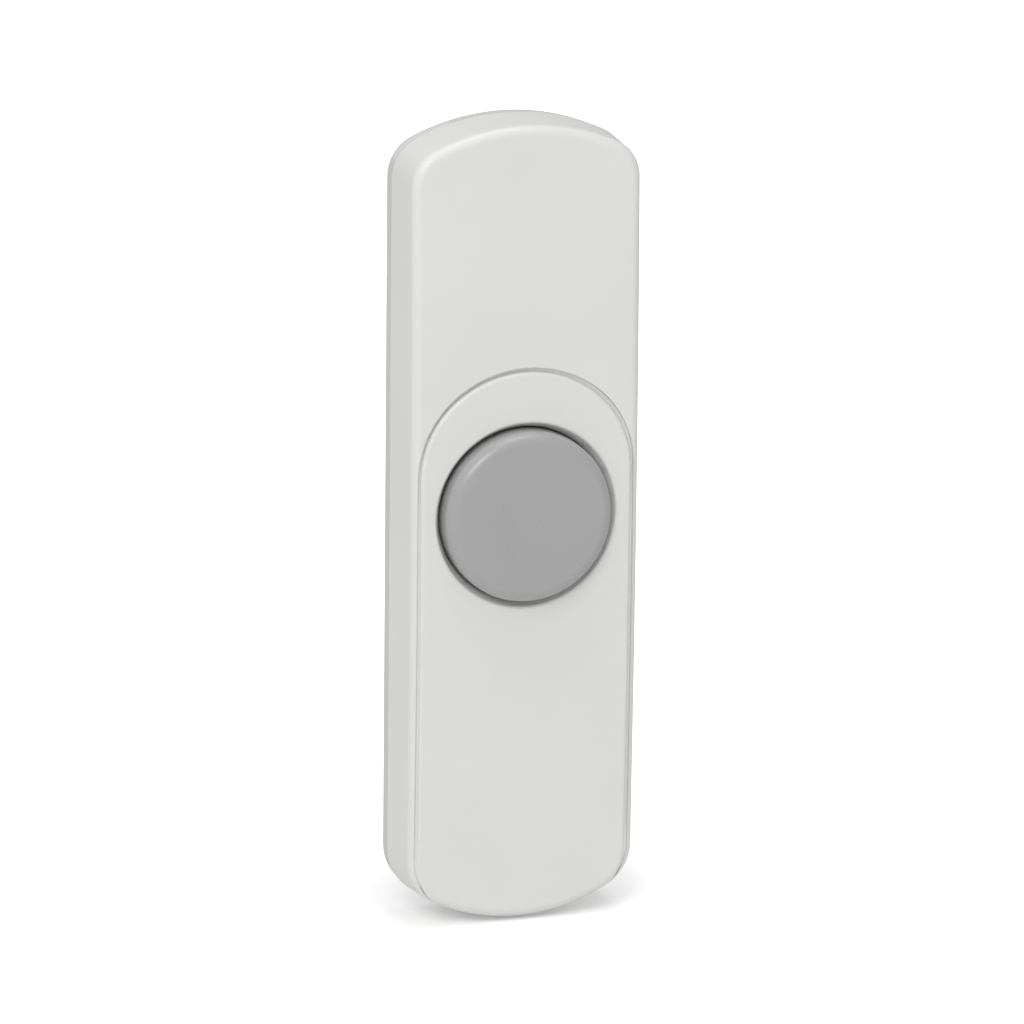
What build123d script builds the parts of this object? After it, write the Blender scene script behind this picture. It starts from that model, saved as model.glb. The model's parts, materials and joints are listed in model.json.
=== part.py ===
from build123d import *
from math import atan, degrees, sqrt
import os

# A slim wall-mounted doorbell push. Sizes are in millimetres. X runs to the right seen from the front,
# Z runs up, and depth is counted from the wall towards the front, along -Y. The origin is the middle
# of the rear face.

# Case outline and section
case_length = 96.2          # top to bottom at the parting line
case_width = 28.8           # side to side at the parting line
case_depth = 10.0           # wall to front face, half way up
end_arc_radius = 23.0       # the arched top and bottom ends
corner_radius = 6.3         # where the ends meet the sides
front_edge_radius = 2.1     # rounding all round the front face
front_crown = 0.8           # how far the front falls back from the middle to each end
draft_inset = 0.5           # how far each wall leans in from the parting line to the front
parting_depth = 2.4         # where the case meets the back plate
parting_chamfer = 0.25      # the fine line round the parting
side_wall = 1.6
front_wall = 1.6

# Lower front panel, set into a tray in the case
panel_margin = 0.57         # rim of the case left beside the panel
panel_thickness = 1.7
panel_arch_radius = 14.12   # arched top
panel_arch_rise = 3.43      # centre of the arch above the button
shoulder_offset = 1.05      # centres of the rounded shoulders, from the middle of the panel
panel_corner_radius = 6.8   # sides into the bottom end
panel_run_out = 1.0         # how far the panel outline passes the end of the case
panel_fit = 0.1             # clearance between the panel and its tray
groove_width = 0.55         # shadow groove round the panel
groove_depth = 0.45
lip_radius = 0.3            # rounded edge of the panel beside the groove
upright_slope = 0.001       # a side leaning less than this counts as upright
tray_floor = 0.8
tray_wall = 1.2
stake_radius = 0.8          # pins that hold the panel in the tray
stake_length = 0.8          # how far they come through
stake_inset = 2.4           # from the panel side
stake_drops = (-9.0, -27.0, -38.0)   # below the button, in pairs

# Push button
button_rise = 1.6           # button centre above the middle of the case
button_radius = 10.2
button_proud = 1.9          # face of the button in front of the case
button_edge_radius = 1.2
button_dome = 0.12          # slight swell of the face
button_gap = 0.25           # black gap round the button
mouth_flare = 0.55          # how much the hole widens through the panel
button_hole_round = 0.35    # rounded mouth of the hole
mouth_rise = 0.03           # the rounding starts this far in front of the panel face
button_wall = 1.5
button_roof = 1.2
flange_width = 1.1          # ring behind the tray that keeps the button in
flange_thickness = 0.8
flange_gap = 0.15
post_radius = 1.5
post_gap = 0.75             # free travel before the post meets the switch
seat_rib_width = 0.6        # ring under the roof that centres the spring
seat_rib_height = 0.8
seat_fit = 0.1              # between the ring and the spring

# Return spring
spring_radius = 6.0
spring_wire_radius = 0.3
spring_turns = 4
wire_sides = 8              # flats on the drawn wire of the spring and the coil
spring_end_gap = 0.05

# Circuit board and its fixing
board_depth = 4.6           # rear face of the board
board_thickness = 0.8
board_width = 20.0
board_end_gap = 5.5         # to the inside of the case ends
board_corner = 3.5
boss_radius = 2.2
boss_end_inset = 3.5        # boss centre from the board end
boss_sink = 0.5             # how far a boss runs into the wall that carries it
screw_radius = 1.0
screw_fit = 0.05
screw_length = 2.3
screw_head_radius = 1.9
screw_head_height = 1.3
screw_slot_width = 0.5
screw_slot_depth = 0.6
board_hole_radius = 1.25

# Tactile switch
switch_side = 6.0
switch_body_height = 2.0
switch_cover_thickness = 0.2
switch_height = 3.0         # board to the top of the stem
stem_radius = 1.7
stem_flange_radius = 2.2
stem_flange_thickness = 0.4
stem_travel = 0.3
stem_fit = 0.15
stem_round = 0.3            # rounded top of the stem
cover_corner = 0.6
terminal_pitch = 4.5

# Coin cell with its strap and leaf
cell_radius = 8.0
cell_thickness = 2.0
cell_rim = 0.4              # step round the negative side
cell_rise = 14.5            # cell centre above the lower boss
cell_lift = 0.4             # gap between the cell and the board
strap_width = 5.0
strap_thickness = 0.3
strap_clear = 0.3
strap_foot = 0.9
leaf_length = 10.0
leaf_width = 4.0
leaf_thickness = 0.15

# Parts soldered to the board
can_radius = 4.2
can_height = 1.8
can_rim_width = 0.4
can_rim_height = 0.5
can_drop = 20.0             # can centre below the button
chip_length = 10.0
chip_width = 3.9
chip_height = 1.2
chip_standoff = 0.15
chip_bevel = 0.2
chip_drop = 8.3             # chip centre below the upper boss
lead_count = 8
lead_pitch = 1.27
lead_width = 0.42
lead_reach = 1.05
lead_thickness = 0.22
coil_radius = 0.9
coil_wire_radius = 0.25
coil_turns = 5
coil_pitch = 0.8
coil_offset = 7.0
small_part_length = 1.6
small_part_width = 0.8
capacitor_height = 0.8
resistor_height = 0.5
small_part_step = 2.4
small_part_drop = 7.5       # middle of the column below the chip
small_part_count = 4
small_part_gap = 2.0        # between the two columns
header_rise = 13.4          # header centre above the button
pin_pitch = 2.0
pin_columns = 5
pin_size = 0.5
pin_fit = 0.05
pin_height = 2.2            # pins behind the board
pin_tail = 0.9              # pins in front of the board
header_height = 0.9
header_margin = 1.0
cap_height = 1.9
cap_wall = 0.55
cap_columns = (0, 3)        # pairs of pins that carry a cap

# Back plate
plate_thickness = 1.6
plate_inset = 0.15          # plate edge behind the case edge
plate_round = 0.5
rim_width = 1.2
lip_height = 1.4            # locating lip inside the case wall
lip_thickness = 1.0
lip_fit = 0.15
mount_spacing = 60.0
mount_hole_radius = 2.1
mount_sink = 0.9
hook_rise = 27.0
hook_width = 4.0
hook_thickness = 1.1
hook_clear = 0.5
hook_top = 6.5
barb_reach = 0.55
barb_length = 1.5
barb_fit = 0.2
barb_land = 0.2             # flat tip of the barb
support_radius = 1.4
support_offset = 7.5
support_gap = 0.1
notch_width = 8.0
notch_height = 0.8
notch_reach = 2.0           # inwards from the plate edge, through the rim

# Places that follow from the sizes above
past_front = case_depth + 2 * button_proud
button_z = button_rise
half_front = case_width / 2 - draft_inset
shoulder_radius = half_front - panel_margin - shoulder_offset
wall_draft = degrees(atan(draft_inset / (case_depth - parting_depth)))
crown_radius = (case_length ** 2 / 4 + front_crown ** 2) / (2 * front_crown)
tray_face = case_depth - panel_thickness
tray_back = tray_face - tray_floor
front_inside = case_depth - front_wall
board_front = board_depth + board_thickness
board_half = case_length / 2 - side_wall - board_end_gap
boss_z = board_half - boss_end_inset
stem_top = board_front + switch_height
cover_top = board_front + switch_body_height + switch_cover_thickness
flange_front = tray_back - flange_gap
flange_back = flange_front - flange_thickness
button_face = case_depth + button_proud
roof_inside = button_face - button_roof
cell_z = cell_rise - boss_z
chip_z = boss_z - chip_drop
can_z = button_z - can_drop
small_part_z = chip_z - small_part_drop
cell_front = board_depth - cell_lift
cell_back = cell_front - cell_thickness


def at_depth(depth):
    return Plane.XZ.offset(depth)


def slab(plan, start, end, taper=0.0):
    return extrude(at_depth(start) * plan, amount=end - start, taper=taper)


def disc(radius, start, end, x=0.0, z=0.0):
    return slab(Pos(x, z) * Circle(radius), start, end)


def block(width, height, start, end, x=0.0, z=0.0):
    return slab(Pos(x, z) * Rectangle(width, height), start, end)


def arched_plan(inset):
    # case outline drawn in by the inset: straight sides, arched ends, rounded corners
    half = case_width / 2 - inset
    arc = end_arc_radius - inset
    end = case_length / 2 - inset
    shoulder = end - arc + sqrt(arc ** 2 - half ** 2)
    edges = [
        Line((half, -shoulder), (half, shoulder)),
        ThreePointArc((half, shoulder), (0, end), (-half, shoulder)),
        Line((-half, shoulder), (-half, -shoulder)),
        ThreePointArc((-half, -shoulder), (0, -end), (half, -shoulder)),
    ]
    plan = make_face(edges)
    return fillet(plan.vertices(), corner_radius - inset)


def panel_plan(inset):
    # panel outline drawn in by the inset: arched over the button, and running past the lower end
    half = half_front - panel_margin - inset
    arch = panel_arch_radius - inset
    arch_centre = button_z + panel_arch_rise
    top = arch_centre + sqrt(arch ** 2 - half ** 2)
    arc = end_arc_radius + panel_run_out - inset
    arc_centre = end_arc_radius - case_length / 2
    low = arc_centre - sqrt(arc ** 2 - half ** 2)
    edges = [
        Line((half, low), (half, top)),
        ThreePointArc((half, top), (0, arch_centre + arch), (-half, top)),
        Line((-half, top), (-half, low)),
        ThreePointArc((-half, low), (0, arc_centre - arc), (half, low)),
    ]
    plan = make_face(edges)
    corners = plan.vertices().sort_by(Axis.Y)
    plan = fillet(corners[2:], shoulder_radius - inset)
    return fillet(plan.vertices().sort_by(Axis.Y)[:2], panel_corner_radius - inset)


def behind_crown(depth):
    # everything behind a front surface that lies at this depth half way up and falls back to both ends
    radius = crown_radius - (case_depth - depth)
    return Pos(0, crown_radius - case_depth, 0) * Rot(0, 90, 0) * Cylinder(radius, 2 * case_width)


def case_blank(inset=0.0):
    # the outside of the case, or a surface this far inside it
    walls = slab(arched_plan(inset), parting_depth, case_depth + front_crown, wall_draft)
    blank = walls & behind_crown(case_depth - inset)
    front = blank.faces().sort_by(Axis.Y)[0]
    return fillet(front.edges(), front_edge_radius - inset)


def case_cavity():
    room = slab(arched_plan(side_wall), parting_depth, case_depth, wall_draft) & behind_crown(front_inside)
    tray = slab(panel_plan(-tray_wall), parting_depth, past_front) - behind_crown(tray_back)
    return room - tray


def stake_places():
    x = half_front - panel_margin - stake_inset
    return [(side * x, button_z + drop) for drop in stake_drops for side in (-1, 1)]


def hook_places():
    x = case_width / 2 - side_wall - hook_clear
    return [(side, x, level * hook_rise) for side in (-1, 1) for level in (-1, 1)]


def front_case():
    case = case_blank() - case_cavity()
    for z in (-boss_z, boss_z):
        wall = tray_back if z < 0 else front_inside
        case += disc(boss_radius, board_front, wall + boss_sink - front_crown, 0, z)
    for z in (-boss_z, boss_z):
        case -= disc(screw_radius + screw_fit, board_front, board_depth + screw_length + screw_fit, 0, z)
    case -= slab(panel_plan(0), parting_depth, past_front) - behind_crown(tray_face)
    case -= disc(button_radius + button_gap, parting_depth, past_front, 0, button_z)
    for x, z in stake_places():
        case -= disc(stake_radius + panel_fit, parting_depth, past_front, x, z)
    for side, x, z in hook_places():
        reach = hook_clear + barb_reach + barb_fit
        case -= block(reach, hook_width + 2 * barb_fit, hook_top - barb_length - barb_fit,
                      hook_top + barb_fit, side * (x + reach / 2), z)
    rear = case.faces().sort_by(Axis.Y)[-1]
    return chamfer(rear.outer_wire().edges(), parting_chamfer)


def panel_lip(face):
    # rounds the front edge of the raised face wherever it has an upright side
    back = face.faces().sort_by(Axis.Y)[-1]
    upright = [side for side in face.faces() if abs(side.normal_at().Y) < upright_slope]
    edges = ShapeList(edge for side in upright for edge in side.edges() if edge.geom_type != GeomType.LINE)
    return fillet(edges - back.edges(), lip_radius)


def hole_mouth():
    # the button hole, flared through the panel, with its rounded mouth
    hole = button_radius + button_gap
    rim = hole + mouth_flare
    wide = rim + 2 * button_hole_round
    mouth = case_depth + mouth_rise
    points = [(0, parting_depth), (hole, parting_depth), (hole, tray_face), (rim, mouth), (wide, mouth),
              (wide, past_front), (0, past_front)]
    return turned(points, [((rim, mouth), button_hole_round)])


def button_panel():
    # the foot lies as deep as the groove all over, and the face stands on it inside the groove
    foot = case_blank(groove_depth) & slab(panel_plan(panel_fit), parting_depth, past_front)
    face = case_blank() & slab(panel_plan(groove_width), parting_depth, past_front)
    panel = foot - behind_crown(tray_face) + panel_lip(face - behind_crown(tray_face)) - hole_mouth()
    for x, z in stake_places():
        panel += disc(stake_radius, tray_back - stake_length, tray_face + groove_depth / 2, x, z)
    return panel


def revolved(plan):
    # turns a plan of radius and minus depth about the button axis
    return revolve(Plane(origin=(0, 0, button_z)) * plan, Axis((0, 0, button_z), (0, 1, 0)))


def turned(points, rounded=()):
    # a piece turned about the button axis, from (radius, depth) corners, some of them rounded
    plan = make_face(Polyline(*[(r, -depth) for r, depth in points], close=True))
    for corner, radius in rounded:
        plan = fillet(plan.vertices().sort_by_distance((corner[0], -corner[1], 0))[0], radius)
    return revolved(plan)


def push_button():
    inside = button_radius - button_wall
    rib = spring_radius + spring_wire_radius + seat_fit
    post_end = stem_top + post_gap
    edge = button_face - button_dome
    points = [
        (button_radius, edge), (button_radius, flange_front),
        (button_radius + flange_width, flange_front), (button_radius + flange_width, flange_back),
        (inside, flange_back), (inside, roof_inside), (rib + seat_rib_width, roof_inside),
        (rib + seat_rib_width, roof_inside - seat_rib_height), (rib, roof_inside - seat_rib_height),
        (rib, roof_inside), (post_radius, roof_inside), (post_radius, post_end), (0, post_end),
        (0, button_face),
    ]
    swell = (button_radius ** 2 + button_dome ** 2) / (2 * button_dome)
    face = RadiusArc((0, -button_face), (button_radius, -edge), swell)
    plan = make_face([face, *Polyline(*[(r, -depth) for r, depth in points]).edges()])
    corner = plan.vertices().sort_by_distance((button_radius, -edge, 0))[0]
    return revolved(fillet(corner, button_edge_radius))


def button_spring():
    low = board_front + spring_wire_radius + spring_end_gap
    high = roof_inside - spring_wire_radius - spring_end_gap
    rise = high - low
    path = Helix(rise / spring_turns, rise, spring_radius, center=(0, -low, button_z), direction=(0, -1, 0))
    section = Plane(origin=path @ 0, z_dir=path % 0) * RegularPolygon(spring_wire_radius, wire_sides)
    return sweep(section, path=path, is_frenet=True)


def pin_places():
    first = -(pin_columns - 1) / 2 * pin_pitch
    rows = (-pin_pitch / 2, pin_pitch / 2)
    z = button_z + header_rise
    return [(first + column * pin_pitch, z + row) for column in range(pin_columns) for row in rows]


def circuit_board():
    plan = RectangleRounded(board_width, 2 * board_half, board_corner)
    board = slab(plan, board_depth, board_front)
    for z in (-boss_z, boss_z):
        board -= disc(board_hole_radius, board_depth, board_front, 0, z)
    for x, z in pin_places():
        side = pin_size + 2 * pin_fit
        board -= block(side, side, board_depth, board_front, x, z)
    return board


def board_screws():
    screws = []
    for z in (-boss_z, boss_z):
        screw = disc(screw_radius, board_depth, board_depth + screw_length, 0, z)
        screw += disc(screw_head_radius, board_depth - screw_head_height, board_depth, 0, z)
        top = board_depth - screw_head_height
        screw -= block(3 * screw_head_radius, screw_slot_width, top, top + screw_slot_depth, 0, z)
        screws.append(screw)
    return Compound(screws)


def switch_body():
    top = board_front + switch_body_height
    body = block(switch_side, switch_side, board_front, top, 0, button_z)
    well = stem_flange_thickness + stem_travel + 2 * stem_fit
    return body - disc(stem_flange_radius + stem_fit, top - well, top, 0, button_z)


def switch_cover():
    start = board_front + switch_body_height
    cover = block(switch_side, switch_side, start, cover_top, 0, button_z)
    cover = fillet(cover.edges().filter_by(Axis.Y), cover_corner)
    return cover - disc(stem_radius + stem_fit, start, cover_top, 0, button_z)


def switch_stem():
    flange_top = board_front + switch_body_height - stem_fit / 2
    stem = disc(stem_flange_radius, flange_top - stem_flange_thickness, flange_top, 0, button_z)
    stem += disc(stem_radius, flange_top, stem_top, 0, button_z)
    top = stem.edges().sort_by(Axis.Y)[0]
    return fillet([top], stem_round)


def gull_wing(x, z, width, rise, outward):
    # a flat bent lead: out of the part at this rise, down, and along the board
    knee = lead_reach / 2
    outline = [(0, rise), (0, rise + lead_thickness), (knee + lead_thickness, rise + lead_thickness),
               (knee + lead_thickness, lead_thickness), (lead_reach, lead_thickness), (lead_reach, 0),
               (knee, 0), (knee, rise)]
    lead = make_face(Polyline(*[(s, -h) for s, h in outline], close=True))
    lead = extrude(lead, amount=width / 2, both=True)
    turn = Rot(0, -90, 0) if outward > 0 else Rot(0, 90, 0)
    return Pos(x, -board_front, z) * turn * lead


def switch_terminals():
    leads = []
    for side in (-1, 1):
        for x in (-terminal_pitch / 2, terminal_pitch / 2):
            z = button_z + side * switch_side / 2
            leads.append(gull_wing(x, z, lead_width, lead_reach / 2, side))
    return Compound(leads)


def coin_cell():
    cell = disc(cell_radius, cell_back, cell_front, 0, cell_z)
    rear = cell.edges().sort_by(Axis.Y)[-1]
    cell = fillet([rear], cell_rim)
    step = disc(cell_radius, cell_front - cell_rim, cell_front, 0, cell_z)
    return cell - (step - disc(cell_radius - 2 * cell_rim, cell_front - cell_rim, cell_front, 0, cell_z))


def cell_strap():
    inner = cell_radius + strap_clear
    outer = inner + strap_thickness
    points = [
        (-outer - strap_foot, board_depth), (-inner, board_depth), (-inner, cell_back),
        (inner, cell_back), (inner, board_depth), (outer + strap_foot, board_depth),
        (outer + strap_foot, board_depth - strap_thickness), (outer, board_depth - strap_thickness),
        (outer, cell_back - strap_thickness), (-outer, cell_back - strap_thickness),
        (-outer, board_depth - strap_thickness), (-outer - strap_foot, board_depth - strap_thickness),
    ]
    plan = make_face(Polyline(*[(x, -depth) for x, depth in points], close=True))
    return extrude(Pos(0, 0, cell_z) * plan, amount=strap_width / 2, both=True)


def cell_leaf():
    half = leaf_length / 2
    low, high = -board_depth, -cell_front
    under = ThreePointArc((-half, low), (0, high - leaf_thickness), (half, low))
    end = Line((half, low), (half, low + leaf_thickness))
    over = ThreePointArc((half, low + leaf_thickness), (0, high), (-half, low + leaf_thickness))
    start = Line((-half, low + leaf_thickness), (-half, low))
    plan = make_face([under, end, over, start])
    return extrude(Pos(0, 0, cell_z) * plan, amount=leaf_width / 2, both=True)


def resonator_can():
    can = disc(can_radius, board_front, board_front + can_height, 0, can_z)
    top = can.edges().sort_by(Axis.Y)[0]
    can = fillet([top], can_rim_height)
    return can + disc(can_radius + can_rim_width, board_front, board_front + can_rim_height, 0, can_z)


def encoder_chip():
    start = board_front + chip_standoff
    chip = block(chip_length, chip_width, start, start + chip_height, 0, chip_z)
    top = chip.faces().sort_by(Axis.Y)[0]
    return chamfer(top.edges(), chip_bevel)


def encoder_leads():
    first = -(lead_count - 1) / 2 * lead_pitch
    leads = []
    for side in (-1, 1):
        z = chip_z + side * chip_width / 2
        for number in range(lead_count):
            leads.append(gull_wing(first + number * lead_pitch, z, lead_width, chip_height / 2, side))
    return Compound(leads)


def tuning_coil():
    run = coil_turns * coil_pitch
    depth = board_front + coil_radius + coil_wire_radius
    start = (coil_offset, -depth, small_part_z - run / 2)
    path = Helix(coil_pitch, run, coil_radius, center=start, direction=(0, 0, 1))
    section = Plane(origin=path @ 0, z_dir=path % 0) * RegularPolygon(coil_wire_radius, wire_sides)
    return sweep(section, path=path, is_frenet=True)


def small_parts(x, height):
    # a column of small soldered blocks below the chip
    parts = []
    middle = (small_part_count - 1) / 2
    for number in range(small_part_count):
        z = small_part_z + (number - middle) * small_part_step
        parts.append(block(small_part_length, small_part_width, board_front, board_front + height, x, z))
    return Compound(parts)


def chip_capacitors():
    return small_parts(-coil_offset, capacitor_height)


def chip_resistors():
    return small_parts(-coil_offset - small_part_gap, resistor_height)


def header_base(height):
    width = pin_columns * pin_pitch + header_margin
    return block(width, 2 * pin_pitch + header_margin / 2, board_depth - height, board_depth, 0,
                 button_z + header_rise)


def jumper_header():
    base = header_base(header_height)
    for x, z in pin_places():
        side = pin_size + 2 * pin_fit
        base -= block(side, side, board_depth - header_height, board_depth, x, z)
    return base


def jumper_pins():
    pins = [block(pin_size, pin_size, board_depth - pin_height, board_front + pin_tail, x, z)
            for x, z in pin_places()]
    return Compound(pins)


def jumper_caps():
    caps = []
    first = -(pin_columns - 1) / 2 * pin_pitch
    z = button_z + header_rise
    top = board_depth - header_height
    width = pin_size + 2 * (pin_fit + cap_wall)
    for column in cap_columns:
        x = first + column * pin_pitch
        cap = block(width, pin_pitch + width, top - cap_height, top, x, z)
        for row in (-pin_pitch / 2, pin_pitch / 2):
            side = pin_size + 2 * pin_fit
            cap -= block(side, side, top - cap_height + cap_wall, top, x, z + row)
        caps.append(cap)
    return Compound(caps)


def snap_hook(side, x, z):
    stem = block(hook_thickness, hook_width, plate_thickness, hook_top, side * (x - hook_thickness / 2), z)
    low = hook_top - barb_length
    tip = x + barb_reach
    points = [(x, low), (tip, low + barb_fit), (tip, low + barb_fit + barb_land), (x, hook_top)]
    barb = make_face(Polyline(*[(side * px, -depth) for px, depth in points], close=True))
    return stem + extrude(Pos(0, 0, z) * barb, amount=hook_width / 2, both=True)


def back_plate():
    plate = slab(arched_plan(plate_inset), 0, parting_depth)
    rear = plate.faces().sort_by(Axis.Y)[-1]
    plate = fillet(rear.edges(), plate_round)
    plate -= slab(arched_plan(plate_inset + rim_width), plate_thickness, parting_depth)
    plate -= block(notch_width, 2 * notch_reach, parting_depth - notch_height, parting_depth, 0,
                   plate_inset - case_length / 2)
    lip = side_wall + lip_fit
    ring = slab(arched_plan(lip), plate_thickness, parting_depth + lip_height)
    plate += ring - slab(arched_plan(lip + lip_thickness), plate_thickness, parting_depth + lip_height)
    for side, x, z in hook_places():
        plate += snap_hook(side, x, z)
    for side in (-1, 1):
        x = side * support_offset
        plate += disc(support_radius, plate_thickness, board_depth - support_gap, x, button_z)
    for z in (-mount_spacing / 2, mount_spacing / 2):
        plate -= disc(mount_hole_radius, 0, plate_thickness, 0, z)
        sink = Cone(mount_hole_radius, mount_hole_radius + mount_sink, mount_sink)
        plate -= Pos(0, mount_sink / 2 - plate_thickness, z) * Rot(90, 0, 0) * sink
    return plate


nodes = [
    back_plate, front_case, button_panel, push_button, button_spring, circuit_board, board_screws,
    switch_body, switch_cover, switch_stem, switch_terminals, coin_cell, cell_strap, cell_leaf,
    resonator_can, encoder_chip, encoder_leads, tuning_coil, chip_capacitors, chip_resistors,
    jumper_header, jumper_pins, jumper_caps,
]
os.makedirs("parts", exist_ok=True)
for node in nodes:
    export_step(node(), f"parts/{node.__name__}.step")
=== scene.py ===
import json
import math

import bmesh
import bpy
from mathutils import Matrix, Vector


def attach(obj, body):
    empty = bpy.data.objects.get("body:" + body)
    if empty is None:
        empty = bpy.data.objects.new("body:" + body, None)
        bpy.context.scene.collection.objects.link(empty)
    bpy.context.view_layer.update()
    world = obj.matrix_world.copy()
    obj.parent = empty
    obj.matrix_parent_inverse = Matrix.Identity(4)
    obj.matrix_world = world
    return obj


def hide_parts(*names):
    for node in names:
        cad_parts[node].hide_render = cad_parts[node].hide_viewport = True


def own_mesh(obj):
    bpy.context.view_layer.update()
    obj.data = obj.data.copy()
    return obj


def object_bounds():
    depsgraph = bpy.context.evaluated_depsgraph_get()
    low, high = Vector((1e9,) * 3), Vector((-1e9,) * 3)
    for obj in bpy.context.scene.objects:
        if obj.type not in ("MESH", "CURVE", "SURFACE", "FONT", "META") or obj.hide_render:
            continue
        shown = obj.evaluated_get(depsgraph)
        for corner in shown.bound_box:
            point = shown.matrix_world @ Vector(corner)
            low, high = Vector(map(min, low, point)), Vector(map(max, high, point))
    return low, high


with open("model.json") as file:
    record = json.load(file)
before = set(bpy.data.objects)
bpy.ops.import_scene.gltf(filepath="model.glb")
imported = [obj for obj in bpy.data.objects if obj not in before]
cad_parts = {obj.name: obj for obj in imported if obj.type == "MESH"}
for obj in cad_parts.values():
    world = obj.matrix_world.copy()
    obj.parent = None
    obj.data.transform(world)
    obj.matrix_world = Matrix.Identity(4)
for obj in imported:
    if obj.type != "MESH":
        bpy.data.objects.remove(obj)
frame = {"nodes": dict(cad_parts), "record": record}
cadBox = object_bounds()
mm = 0.001
print("frame loaded:", len(frame["nodes"]), "nodes")


def deselectAll():
    if bpy.context.mode != "OBJECT":
        bpy.ops.object.mode_set(mode="OBJECT")
    bpy.ops.object.select_all(action="DESELECT")


deselectAll()

# finishes, one dictionary each; lengths in metres, colours linear
caseFinish = {
    "name": "caseWhite", "color": (0.79, 0.79, 0.775), "roughness": 0.36, "roughnessSpread": 0.06,
    "shade": 0.02, "patch": 60.0, "grain": 5200.0, "grainHeight": 0.000004,
}
# the wall plate is the case's white plastic, its colour darkened as painted shade for the shadowed strip
# along the back
plateFinishWithPaintedShade = {
    "name": "plateWhite", "color": (0.66, 0.66, 0.645), "roughness": 0.5, "roughnessSpread": 0.06,
    "shade": 0.03, "patch": 60.0, "grain": 4200.0, "grainHeight": 0.000008,
}
buttonFinish = {
    "name": "buttonGrey", "color": (0.402, 0.403, 0.402), "roughness": 0.26, "roughnessSpread": 0.06,
    "shade": 0.03, "patch": 90.0, "grain": 6000.0, "grainHeight": 0.000005,
}
innerFinishes = {
    "spring_steel": {"name": "springSteel", "color": (0.55, 0.55, 0.56), "metal": 1.0, "roughness": 0.32},
    "board_green": {"name": "boardGreen", "color": (0.02, 0.13, 0.06), "roughness": 0.42},
    "black_plastic": {"name": "blackPlastic", "color": (0.018, 0.018, 0.019), "roughness": 0.5},
    "tinned_metal": {"name": "tinnedMetal", "color": (0.68, 0.67, 0.64), "metal": 1.0, "roughness": 0.38},
    "cell_steel": {"name": "cellSteel", "color": (0.62, 0.61, 0.60), "metal": 1.0, "roughness": 0.28},
    "contact_brass": {"name": "contactBrass", "color": (0.72, 0.50, 0.18), "metal": 1.0, "roughness": 0.3},
    "coil_copper": {"name": "coilCopper", "color": (0.68, 0.30, 0.15), "metal": 1.0, "roughness": 0.3},
    "capacitor_tan": {"name": "capacitorTan", "color": (0.36, 0.24, 0.12), "roughness": 0.55},
    "resistor_black": {"name": "resistorBlack", "color": (0.02, 0.02, 0.022), "roughness": 0.45},
}
finishNoise = {"patchDetail": 3.0, "grainDetail": 2.0, "rampLow": 0.3, "rampHigh": 0.7, "bumpStrength": 1.0}
innerDefaults = {"roughnessSpread": 0.1, "shade": 0.12, "patch": 500.0, "grain": 4000.0,
                 "grainHeight": 0.000006}


def makeFinish(finish):
    material = bpy.data.materials.new(finish["name"])
    material.use_nodes = True
    nodes, links = material.node_tree.nodes, material.node_tree.links
    shader = nodes["Principled BSDF"]
    place = nodes.new("ShaderNodeTexCoord")

    # broad, faint change of tone over the surface
    patch = nodes.new("ShaderNodeTexNoise")
    patch.inputs["Scale"].default_value = finish["patch"]
    patch.inputs["Detail"].default_value = finishNoise["patchDetail"]
    links.new(place.outputs["Object"], patch.inputs["Vector"])
    tone = nodes.new("ShaderNodeValToRGB")
    low, high = 1.0 - finish["shade"], 1.0 + finish["shade"]
    tone.color_ramp.elements[0].position = finishNoise["rampLow"]
    tone.color_ramp.elements[1].position = finishNoise["rampHigh"]
    tone.color_ramp.elements[0].color = (*[c * low for c in finish["color"]], 1.0)
    tone.color_ramp.elements[1].color = (*[min(c * high, 1.0) for c in finish["color"]], 1.0)
    links.new(patch.outputs["Fac"], tone.inputs["Fac"])
    links.new(tone.outputs["Color"], shader.inputs["Base Color"])

    # fine moulded or rolled grain, in the sheen and in the surface
    grain = nodes.new("ShaderNodeTexNoise")
    grain.inputs["Scale"].default_value = finish["grain"]
    grain.inputs["Detail"].default_value = finishNoise["grainDetail"]
    links.new(place.outputs["Object"], grain.inputs["Vector"])
    sheen = nodes.new("ShaderNodeMapRange")
    sheen.inputs["To Min"].default_value = finish["roughness"] - finish["roughnessSpread"]
    sheen.inputs["To Max"].default_value = finish["roughness"] + finish["roughnessSpread"]
    links.new(grain.outputs["Fac"], sheen.inputs["Value"])
    links.new(sheen.outputs["Result"], shader.inputs["Roughness"])
    bump = nodes.new("ShaderNodeBump")
    bump.inputs["Distance"].default_value = finish["grainHeight"]
    bump.inputs["Strength"].default_value = finishNoise["bumpStrength"]
    links.new(grain.outputs["Fac"], bump.inputs["Height"])
    links.new(bump.outputs["Normal"], shader.inputs["Normal"])
    shader.inputs["Metallic"].default_value = finish.get("metal", 0.0)
    return material


caseWhite = makeFinish(caseFinish)
plateWhite = makeFinish(plateFinishWithPaintedShade)
buttonGrey = makeFinish(buttonFinish)
slotFinish = {"case_white": caseWhite, "plate_white": plateWhite, "button_grey": buttonGrey}
for slotName, finish in innerFinishes.items():
    slotFinish[slotName] = makeFinish({**innerDefaults, **finish})
for entry in frame["record"]["subparts"]:
    node = frame["nodes"][entry["node"]]
    node.data.materials.clear()
    node.data.materials.append(slotFinish[entry["material_slot"]])
print("finishes made:", len(slotFinish))

# modelling helpers; sizes in the piece dictionaries are millimetres, depth is measured from the wall
limits = {"merge": 0.001, "sameDepth": 0.002, "cut": 0.0005, "upright": 0.02, "facing": 0.3}


def newPiece(name):
    deselectAll()
    bpy.ops.mesh.primitive_plane_add(size=mm)
    piece = bpy.context.object
    piece.name = name
    piece.data.name = name
    bpy.ops.object.mode_set(mode="EDIT")
    bpy.ops.mesh.delete(type="VERT")
    return piece


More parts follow.
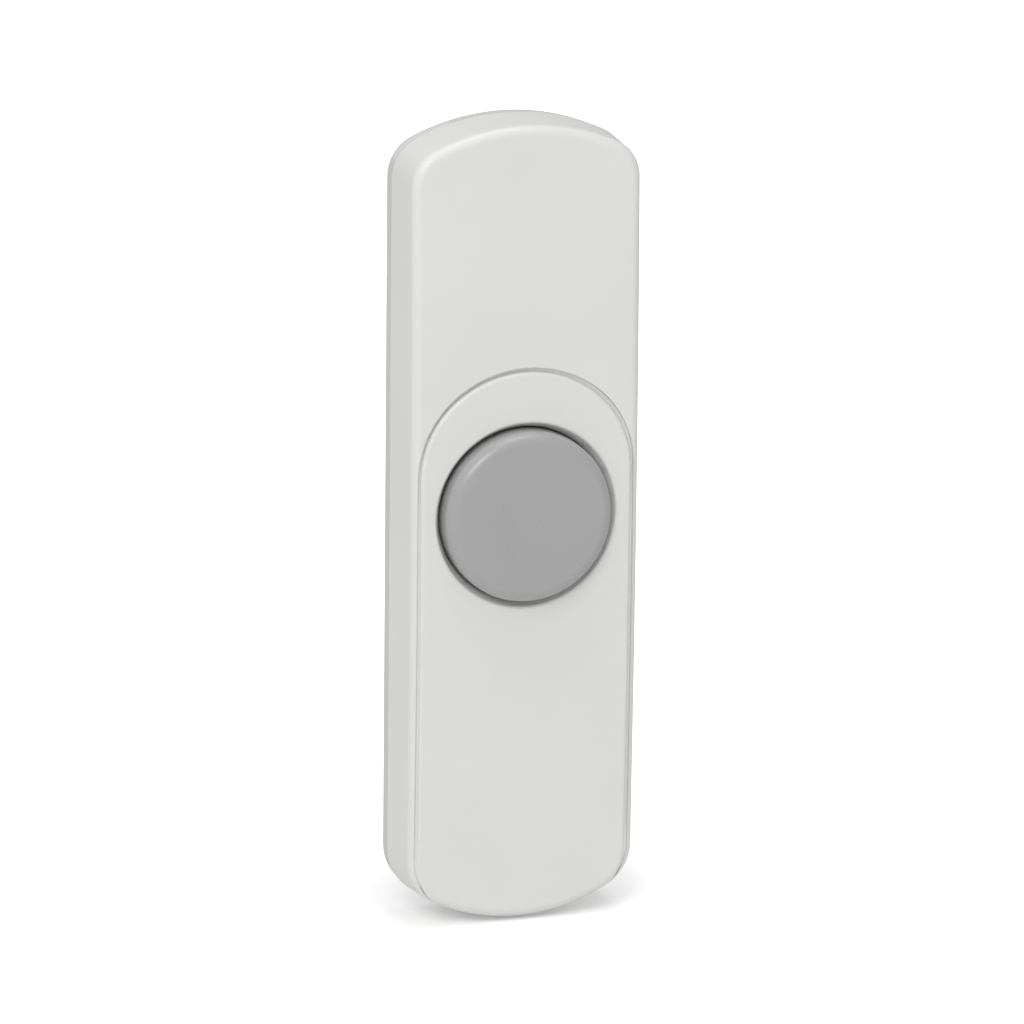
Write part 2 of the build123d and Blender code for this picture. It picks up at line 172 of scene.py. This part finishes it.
def addPoint(x, depth, z):
    bpy.ops.mesh.select_all(action="DESELECT")
    bpy.ops.mesh.primitive_plane_add(size=mm, location=(x * mm, -depth * mm, z * mm))
    bpy.ops.mesh.merge(type="CENTER")


def pullPoint(dx, dDepth, dz):
    bpy.ops.mesh.extrude_region_move(TRANSFORM_OT_translate={"value": (dx * mm, -dDepth * mm, dz * mm)})


def turnPoint(x, depth, z, angle, steps, axis=(0, -1, 0)):
    bpy.ops.mesh.spin(steps=steps, angle=angle, center=(x * mm, -depth * mm, z * mm), axis=axis)


def pick(piece, kind, test):
    bpy.ops.mesh.select_mode(type={"verts": "VERT", "edges": "EDGE", "faces": "FACE"}[kind])
    bpy.ops.mesh.select_all(action="DESELECT")
    drawn = bmesh.from_edit_mesh(piece.data)
    picked = [item for item in getattr(drawn, kind) if test(item)]
    for item in picked:
        item.select_set(True)
    bmesh.update_edit_mesh(piece.data)
    return len(picked)


def closeMesh():
    bpy.ops.mesh.select_mode(type="VERT")
    bpy.ops.mesh.select_all(action="SELECT")
    bpy.ops.mesh.remove_doubles(threshold=limits["merge"] * mm)
    bpy.ops.mesh.normals_make_consistent(inside=False)


# one closed outline: arched ends, rounded corners and straight sides, clockwise from the top
def drawOutline(shape, inset, depth):
    ends = []
    for side, end in ((1, shape["top"]), (-1, shape["bottom"])):
        reach, across = end["arc"] - end["corner"], shape["half"] - end["corner"]
        lean = math.asin(across / reach)
        ends.append((end["centre"], across, end["centre"] + side * reach * math.cos(lean), lean))
    topArc, topAcross, topCorner, topLean = ends[0]
    lowArc, lowAcross, lowCorner, lowLean = ends[1]
    steps, round90 = shape["steps"], math.pi / 2
    addPoint(0, depth, topArc + shape["top"]["arc"] - inset)
    turnPoint(0, depth, topArc, topLean, steps)
    turnPoint(topAcross, depth, topCorner, round90 - topLean, steps)
    pullPoint(0, 0, lowCorner - topCorner)
    turnPoint(lowAcross, depth, lowCorner, round90 - lowLean, steps)
    turnPoint(0, depth, lowArc, 2 * lowLean, 2 * steps)
    turnPoint(-lowAcross, depth, lowCorner, round90 - lowLean, steps)
    pullPoint(0, 0, topCorner - lowCorner)
    turnPoint(-topAcross, depth, topCorner, round90 - topLean, steps)
    turnPoint(0, depth, topArc, topLean, steps)


def atDepth(vertex, depth):
    return abs(vertex.co.y + depth * mm) < limits["sameDepth"] * mm


# a block between two outlines
def makeBlock(name, shape, backInset, back, frontInset, front):
    piece = newPiece(name)
    drawOutline(shape, backInset, back)
    drawOutline(shape, frontInset, front)
    closeMesh()
    bpy.ops.mesh.bridge_edge_loops()
    for depth in (back, front):
        pick(piece, "verts", lambda v: atDepth(v, depth))
        bpy.ops.mesh.edge_face_add()
    closeMesh()
    bpy.ops.object.mode_set(mode="OBJECT")
    return piece


# a box between two corners
def makeBox(name, low, high):
    piece = newPiece(name)
    addPoint(*low)
    pullPoint(high[0] - low[0], 0, 0)
    bpy.ops.mesh.select_all(action="SELECT")
    pullPoint(0, high[1] - low[1], 0)
    bpy.ops.mesh.select_all(action="SELECT")
    pullPoint(0, 0, high[2] - low[2])
    closeMesh()
    bpy.ops.object.mode_set(mode="OBJECT")
    return piece


# a piece turned about the button axis from radius and depth corners
def makeTurned(name, corners, axisHeight, steps):
    piece = newPiece(name)
    addPoint(corners[0][0], corners[0][1], axisHeight)
    for start, end in zip(corners, corners[1:]):
        pullPoint(end[0] - start[0], end[1] - start[1], 0)
    bpy.ops.mesh.select_all(action="SELECT")
    turnPoint(0, 0, axisHeight, 2 * math.pi, steps)
    closeMesh()
    bpy.ops.object.mode_set(mode="OBJECT")
    return piece


def copyPiece(piece, name):
    deselectAll()
    piece.select_set(True)
    bpy.context.view_layer.objects.active = piece
    bpy.ops.object.duplicate()
    twin = bpy.context.object
    twin.name = name
    twin.data.name = name
    return twin


def combine(piece, tool, operation):
    deselectAll()
    piece.select_set(True)
    bpy.context.view_layer.objects.active = piece
    step = piece.modifiers.new("combine", "BOOLEAN")
    step.operation = operation
    step.solver = "EXACT"
    step.object = tool
    bpy.ops.object.modifier_apply(modifier=step.name)
    bpy.data.objects.remove(tool)


def editPiece(piece):
    deselectAll()
    piece.select_set(True)
    bpy.context.view_layer.objects.active = piece
    bpy.ops.object.mode_set(mode="EDIT")


def roundEdges(width, segments):
    bpy.ops.mesh.bevel(offset_type="OFFSET", offset=width * mm, segments=segments, profile=0.5,
                       affect="EDGES", clamp_overlap=True)


def cutRows(pitch, reach):
    count = int(reach // pitch)
    for row in range(-count, count + 1):
        bpy.ops.mesh.select_all(action="SELECT")
        bpy.ops.mesh.bisect(plane_co=(0, 0, row * pitch * mm), plane_no=(0, 0, 1),
                            threshold=limits["cut"] * mm)


def finishShading(piece, angle):
    deselectAll()
    piece.select_set(True)
    bpy.context.view_layer.objects.active = piece
    bpy.ops.object.shade_smooth_by_angle(angle=math.radians(angle))
    even = piece.modifiers.new("evenNormals", "WEIGHTED_NORMAL")
    even.keep_sharp = True
    bpy.ops.object.modifier_apply(modifier=even.name)


def placePiece(piece, material, body, node):
    piece.data.materials.clear()
    piece.data.materials.append(material)
    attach(piece, body)
    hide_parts(node)


# the moulded case
caseShape = {
    "half": 14.4, "steps": 12,
    "top": {"arc": 27.0, "corner": 5.1, "centre": 21.1},
    "bottom": {"arc": 23.0, "corner": 6.3, "centre": -25.1},
    "back": 2.4, "front": 10.0, "draft": 0.5, "edge": 1.1, "edgeSteps": 12, "parting": 0.2,
    "partingSteps": 2, "crown": 0.8, "reach": 48.1, "rowPitch": 3.0, "fallRows": 33, "rimRound": 0.12,
    "rimSteps": 3, "smooth": 32,
    "roomInset": 2.1, "roomStart": 1.0, "roomFront": 7.5, "upperRoomStart": 6.0, "upperRoomFront": 8.4,
}

# the panel with its groove, lip and button hole
panelShape = {
    "half": 13.33, "steps": 14,
    "top": {"arc": 14.12, "corner": 12.28, "centre": 5.13},
    "bottom": {"arc": 22.7, "corner": 7.0, "centre": -25.1},
    "back": 8.3, "fit": 0.02, "grooveDepth": 0.35, "archDepth": 0.3, "archFrom": 0.0, "archTo": 15.0,
    "runOut": 0.3, "runOutFrom": -36.0, "runOutTo": -45.0,
    "rimFrom": 8.9, "trayWall": 1.2, "holeStart": 5.0, "holeRadius": 10.4, "mouthBack": 8.6,
    "mouthRadius": 10.95, "mouthRound": 0.4, "mouthSteps": 6, "holeHeight": 1.6, "holeSteps": 128,
}
faceShape = {
    "half": 12.95, "steps": 14,
    "top": {"arc": 13.57, "corner": 11.73, "centre": 5.13},
    "bottom": {"arc": 22.75, "corner": 6.4, "centre": -25.1},
    "front": 9.995, "lip": 0.45, "lipSteps": 6,
}
pastFront = 13.0


# the outside of the case, or a surface this far inside it
def makeBlank(name, inset):
    front = caseShape["front"] - inset
    piece = makeBlock(name, caseShape, inset, caseShape["back"], caseShape["draft"] + inset, front)
    editPiece(piece)
    pick(piece, "edges", lambda e: all(atDepth(v, front) for v in e.verts))
    roundEdges(caseShape["edge"] - inset, caseShape["edgeSteps"])
    pick(piece, "edges", lambda e: all(atDepth(v, caseShape["back"]) for v in e.verts))
    roundEdges(caseShape["parting"], caseShape["partingSteps"])
    closeMesh()
    bpy.ops.object.mode_set(mode="OBJECT")
    return piece


# moves the front of a piece back by a fall that depends on the height, with a lattice round the case
def makeFall(name, fall):
    deselectAll()
    bpy.ops.object.add(type="LATTICE")
    lattice = bpy.context.object
    lattice.name = name
    lattice.data.points_u = lattice.data.points_v = 2
    lattice.data.points_w = caseShape["fallRows"]
    lattice.data.interpolation_type_u = lattice.data.interpolation_type_v = "KEY_LINEAR"
    lattice.data.interpolation_type_w = "KEY_LINEAR"
    depth = caseShape["front"] - caseShape["back"]
    lattice.location = (0, -(caseShape["front"] + caseShape["back"]) / 2 * mm, 0)
    lattice.scale = (2 * caseShape["half"] * mm, depth * mm, 2 * caseShape["reach"] * mm)
    for point in lattice.data.points:
        if point.co[1] < 0:
            point.co_deform[1] += fall(2 * point.co[2] * caseShape["reach"]) / depth
    return lattice


# the crown of the front, and the groove that is deeper round the arch and runs out at the lower corners
def crownFall(height):
    return caseShape["crown"] * (height / caseShape["reach"]) ** 2


def shareBetween(height, start, end):
    return min(max((height - start) / (end - start), 0), 1)


def grooveFall(height):
    shape = panelShape
    return (shape["archDepth"] * shareBetween(height, shape["archFrom"], shape["archTo"])
            - shape["runOut"] * shareBetween(height, shape["runOutFrom"], shape["runOutTo"]))


def bendPiece(piece, lattice):
    deselectAll()
    piece.select_set(True)
    bpy.context.view_layer.objects.active = piece
    bent = piece.modifiers.new(lattice.name, "LATTICE")
    bent.object = lattice
    bpy.ops.object.modifier_apply(modifier=bent.name)


def flankOf(edge):
    # one upright face and one that faces the front
    if len(edge.link_faces) != 2:
        return False
    fronts = sorted(-face.normal.y for face in edge.link_faces)
    return abs(fronts[0]) < limits["upright"] and fronts[1] > limits["facing"]


def makeCase(blank):
    piece = copyPiece(blank, "caseShell")
    combine(piece, makeBlock("tray", panelShape, 0, panelShape["back"], 0, pastFront), "DIFFERENCE")
    start, radius = panelShape["holeStart"], panelShape["holeRadius"]
    hole = [(0, start), (radius, start), (radius, pastFront), (0, pastFront)]
    trayHole = makeTurned("trayHole", hole, panelShape["holeHeight"], panelShape["holeSteps"])
    combine(piece, trayHole, "DIFFERENCE")
    inset = caseShape["roomInset"]
    room = makeBlock("room", caseShape, inset, caseShape["roomStart"], inset, caseShape["roomFront"])
    combine(piece, room, "DIFFERENCE")
    upper = makeBlock("upperRoom", caseShape, inset, caseShape["upperRoomStart"], inset,
                      caseShape["upperRoomFront"])
    combine(upper, makeBlock("trayBack", panelShape, -panelShape["trayWall"], start,
                             -panelShape["trayWall"], pastFront), "DIFFERENCE")
    combine(piece, upper, "DIFFERENCE")
    editPiece(piece)
    rimFrom = panelShape["rimFrom"] * mm
    pick(piece, "edges", lambda e: flankOf(e) and all(-v.co.y > rimFrom for v in e.verts))
    roundEdges(caseShape["rimRound"], caseShape["rimSteps"])
    cutRows(caseShape["rowPitch"], caseShape["reach"])
    closeMesh()
    bpy.ops.object.mode_set(mode="OBJECT")
    return piece


# the foot lies as deep as the groove all over, and the face stands on it inside the groove
def makePanel(blank):
    back = panelShape["back"]
    face = makeBlock("panelFace", faceShape, 0, back, 0, faceShape["front"])
    editPiece(face)
    pick(face, "edges", lambda e: all(atDepth(v, faceShape["front"]) for v in e.verts))
    roundEdges(faceShape["lip"], faceShape["lipSteps"])
    closeMesh()
    combine(face, blank, "INTERSECT")
    piece = makeBlank("frontPanel", panelShape["grooveDepth"])
    fit = panelShape["fit"]
    combine(piece, makeBlock("footBlock", panelShape, fit, back, fit, pastFront), "INTERSECT")
    editPiece(piece)
    cutRows(caseShape["rowPitch"], caseShape["reach"])
    groove = makeFall("groove", grooveFall)
    bendPiece(piece, groove)
    bpy.data.objects.remove(groove)
    combine(piece, face, "UNION")
    start, hole = panelShape["holeStart"], panelShape["holeRadius"]
    corners = [(0, start), (hole, start), (hole, panelShape["mouthBack"])]
    mouth, bend, steps = panelShape["mouthRadius"], panelShape["mouthRound"], panelShape["mouthSteps"]
    for step in range(steps + 1):
        turn = math.pi / 2 * step / steps
        corners.append((mouth + bend * (1 - math.cos(turn)),
                        caseShape["front"] - bend * (1 - math.sin(turn))))
    corners += [(mouth + bend, pastFront), (0, pastFront)]
    mouthCut = makeTurned("mouth", corners, panelShape["holeHeight"], panelShape["holeSteps"])
    combine(piece, mouthCut, "DIFFERENCE")
    editPiece(piece)
    cutRows(caseShape["rowPitch"], caseShape["reach"])
    closeMesh()
    bpy.ops.object.mode_set(mode="OBJECT")
    return piece


# the upper rim of the wall plate, which follows the corners of the case; elsewhere it lies inside the plate
plateShape = {
    "half": 14.245, "steps": 12,
    "top": {"arc": 26.845, "corner": 4.945, "centre": 21.1},
    "bottom": {"arc": 22.845, "corner": 6.145, "centre": -25.1},
    "back": 0.005, "front": 2.395, "rim": 1.2, "round": 0.5, "roundSteps": 6, "past": 1.0,
}


def makePlate():
    shape, past = plateShape, plateShape["past"]
    rim = makeBlock("plateRim", shape, 0, shape["back"], 0, shape["front"])
    editPiece(rim)
    pick(rim, "edges", lambda e: all(atDepth(v, shape["back"]) for v in e.verts))
    roundEdges(shape["round"], shape["roundSteps"])
    closeMesh()
    inside = makeBlock("rimInside", shape, shape["rim"], -past, shape["rim"], shape["front"] + past)
    combine(rim, inside, "DIFFERENCE")
    upper = makeBox("upperHalf", (-shape["half"] - past, -past, 0),
                    (shape["half"] + past, shape["front"] + past, caseShape["reach"] + past))
    combine(rim, upper, "INTERSECT")
    piece = bpy.data.objects.new("wallPlate", frame["nodes"]["back_plate"].data.copy())
    bpy.context.scene.collection.objects.link(piece)
    editPiece(piece)
    closeMesh()
    combine(piece, rim, "UNION")
    return piece


# the button cap, turned from its half section
buttonShape = {
    "radius": 10.2, "face": 11.9, "dome": 0.12, "edge": 1.5, "domeSteps": 6, "edgeSteps": 14,
    "turnSteps": 160, "height": 1.6, "flangeRadius": 11.3, "flangeFront": 7.35, "flangeBack": 6.55,
    "inside": 8.7,
    "roof": 10.7, "ribOuter": 7.0, "ribInner": 6.4, "ribBack": 9.9, "post": 1.5, "postBack": 9.15,
}


def makeButton():
    shape = buttonShape
    height = shape["height"]
    swell = (shape["radius"] ** 2 + shape["dome"] ** 2) / (2 * shape["dome"])
    edgeAcross = shape["radius"] - shape["edge"]
    lean = math.asin(edgeAcross / (swell - shape["edge"]))
    edgeDepth = shape["face"] - swell + (swell - shape["edge"]) * math.cos(lean)
    piece = newPiece("buttonCap")
    addPoint(0, shape["face"], height)
    turnPoint(0, shape["face"] - swell, height, lean, shape["domeSteps"], (0, 0, -1))
    turnPoint(edgeAcross, edgeDepth, height, math.pi / 2 - lean, shape["edgeSteps"], (0, 0, -1))
    place = (shape["radius"], edgeDepth)
    for corner in [(shape["radius"], shape["flangeFront"]), (shape["flangeRadius"], shape["flangeFront"]),
                   (shape["flangeRadius"], shape["flangeBack"]), (shape["inside"], shape["flangeBack"]),
                   (shape["inside"], shape["roof"]), (shape["ribOuter"], shape["roof"]),
                   (shape["ribOuter"], shape["ribBack"]), (shape["ribInner"], shape["ribBack"]),
                   (shape["ribInner"], shape["roof"]), (shape["post"], shape["roof"]),
                   (shape["post"], shape["postBack"]), (0, shape["postBack"])]:
        pullPoint(corner[0] - place[0], corner[1] - place[1], 0)
        place = corner
    bpy.ops.mesh.select_all(action="SELECT")
    turnPoint(0, 0, height, 2 * math.pi, shape["turnSteps"])
    closeMesh()
    bpy.ops.object.mode_set(mode="OBJECT")
    return piece


# the return spring, copied at rest length; the real spring shortens towards its foot as the button goes in
springShape = {"foot": 5.4, "keep": 0.81, "smooth": 50}


def makeSpring():
    piece = bpy.data.objects.new("returnSpring", frame["nodes"]["button_spring"].data.copy())
    bpy.context.scene.collection.objects.link(piece)
    editPiece(piece)
    closeMesh()
    finishShading(piece, springShape["smooth"])
    placePiece(piece, slotFinish["spring_steel"], "housing", "button_spring")
    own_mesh(piece)


blank = makeBlank("blank", 0)
caseShell = makeCase(blank)
frontPanel = makePanel(blank)
buttonCap = makeButton()
wallPlate = makePlate()
crown = makeFall("crown", crownFall)
bendPiece(caseShell, crown)
bendPiece(frontPanel, crown)
bpy.data.objects.remove(crown)
pieces = (caseShell, frontPanel, buttonCap, wallPlate)
for piece in pieces:
    finishShading(piece, caseShape["smooth"])
placePiece(caseShell, caseWhite, "housing", "front_case")
placePiece(frontPanel, caseWhite, "housing", "button_panel")
placePiece(buttonCap, buttonGrey, "button", "push_button")
# the wall plate gets the darker white, whose darkness is painted shade
placePiece(wallPlate, plateWhite, "housing", "back_plate")
makeSpring()
print("pieces made:", ", ".join(f"{piece.name} {len(piece.data.polygons)}" for piece in pieces))


# floor, light and camera
stage = {"floorSize": 6.0, "floorDrop": 0.00002, "floorTone": 0.93, "floorGlow": 0.27, "worldLight": 0.41,
         "shadeNear": 0.012, "shadeFar": 0.05, "floorRoughness": 0.9}


def makeFloor():
    deselectAll()
    low = cadBox[0][2] - stage["floorDrop"]
    bpy.ops.mesh.primitive_plane_add(size=stage["floorSize"], location=(0, 0, low))
    floor = bpy.context.object
    floor.name = "floor"
    material = bpy.data.materials.new("paleFloor")
    material.use_nodes = True
    nodes, links = material.node_tree.nodes, material.node_tree.links
    shader = nodes["Principled BSDF"]
    tone = stage["floorTone"]
    shader.inputs["Base Color"].default_value = (tone, tone, tone, 1.0)
    shader.inputs["Roughness"].default_value = stage["floorRoughness"]
    shader.inputs["Specular IOR Level"].default_value = 0.0
    ray = nodes.new("ShaderNodeLightPath")
    place = nodes.new("ShaderNodeTexCoord")
    away = nodes.new("ShaderNodeVectorMath")
    away.operation = "LENGTH"
    links.new(place.outputs["Object"], away.inputs[0])
    fade = nodes.new("ShaderNodeMapRange")
    fade.interpolation_type = "SMOOTHSTEP"
    fade.inputs["From Min"].default_value = stage["shadeNear"]
    fade.inputs["From Max"].default_value = stage["shadeFar"]
    fade.inputs["To Min"].default_value = stage["floorGlow"]
    fade.inputs["To Max"].default_value = 1.0
    links.new(away.outputs["Value"], fade.inputs["Value"])
    glow = nodes.new("ShaderNodeMath")
    glow.operation = "MULTIPLY"
    links.new(ray.outputs["Is Camera Ray"], glow.inputs[0])
    links.new(fade.outputs["Result"], glow.inputs[1])
    shader.inputs["Emission Color"].default_value = (1, 1, 1, 1)
    links.new(glow.outputs["Value"], shader.inputs["Emission Strength"])
    floor.data.materials.append(material)


def makeWorld():
    world = bpy.data.worlds.new("studio")
    bpy.context.scene.world = world
    world.use_nodes = True
    nodes, links = world.node_tree.nodes, world.node_tree.links
    background = nodes["Background"]
    background.inputs["Color"].default_value = (1, 1, 1, 1)
    ray = nodes.new("ShaderNodeLightPath")
    seen = nodes.new("ShaderNodeMath")
    seen.operation = "MAXIMUM"
    links.new(ray.outputs["Is Camera Ray"], seen.inputs[0])
    links.new(ray.outputs["Is Transmission Ray"], seen.inputs[1])
    strength = nodes.new("ShaderNodeMapRange")
    strength.inputs["To Min"].default_value = stage["worldLight"]
    strength.inputs["To Max"].default_value = 1.0
    links.new(seen.outputs["Value"], strength.inputs["Value"])
    links.new(strength.outputs["Result"], background.inputs["Strength"])


lamps = [
    {"name": "keyPanel", "place": (-0.55, -0.75, 0.75), "size": 0.6, "power": 5.55},
    {"name": "topPanel", "place": (0.05, -0.15, 0.9), "size": 0.5, "power": 2.5},
]


def makeLamps():
    for lamp in lamps:
        light = bpy.data.lights.new(lamp["name"], "AREA")
        light.shape = "SQUARE"
        light.size = lamp["size"]
        light.energy = lamp["power"]
        panel = bpy.data.objects.new(lamp["name"], light)
        panel.location = lamp["place"]
        panel.rotation_euler = (-Vector(lamp["place"])).to_track_quat("-Z", "Y").to_euler()
        bpy.context.scene.collection.objects.link(panel)


view = {"azimuth": -19.01, "elevation": 14.3, "roll": -0.601, "distance": 0.9, "pixelsPerMetre": 8487.7,
        "originPixel": (498.86, 508.46), "imageSize": 1024, "sensor": 36.0, "clipStart": 0.05}


def makeCamera():
    turn, rise = math.radians(view["azimuth"]), math.radians(view["elevation"])
    back = Vector((math.sin(turn) * math.cos(rise), -math.cos(turn) * math.cos(rise), math.sin(rise)))
    right = Vector((math.cos(turn), math.sin(turn), 0))
    up = back.cross(right)
    lean = math.radians(view["roll"])
    leanRight = right * math.cos(lean) - up * math.sin(lean)
    leanUp = right * math.sin(lean) + up * math.cos(lean)
    middle = view["imageSize"] / 2
    across = (middle - view["originPixel"][0]) / view["pixelsPerMetre"]
    down = (middle - view["originPixel"][1]) / view["pixelsPerMetre"]
    data = bpy.data.cameras.new("photoCamera")
    data.sensor_width = view["sensor"]
    data.lens = view["pixelsPerMetre"] * view["distance"] / view["imageSize"] * data.sensor_width
    data.clip_start = view["clipStart"]
    camera = bpy.data.objects.new("photoCamera", data)
    turned = camera.matrix_world.to_3x3()
    turned.col[0], turned.col[1], turned.col[2] = leanRight, leanUp, back
    camera.matrix_world = turned.to_4x4()
    camera.location = back * view["distance"] + leanRight * across - leanUp * down
    bpy.context.scene.collection.objects.link(camera)
    bpy.context.scene.camera = camera


makeFloor()
makeWorld()
makeLamps()
makeCamera()
bpy.context.scene.view_settings.view_transform = "Standard"
print("stage, light and camera set")
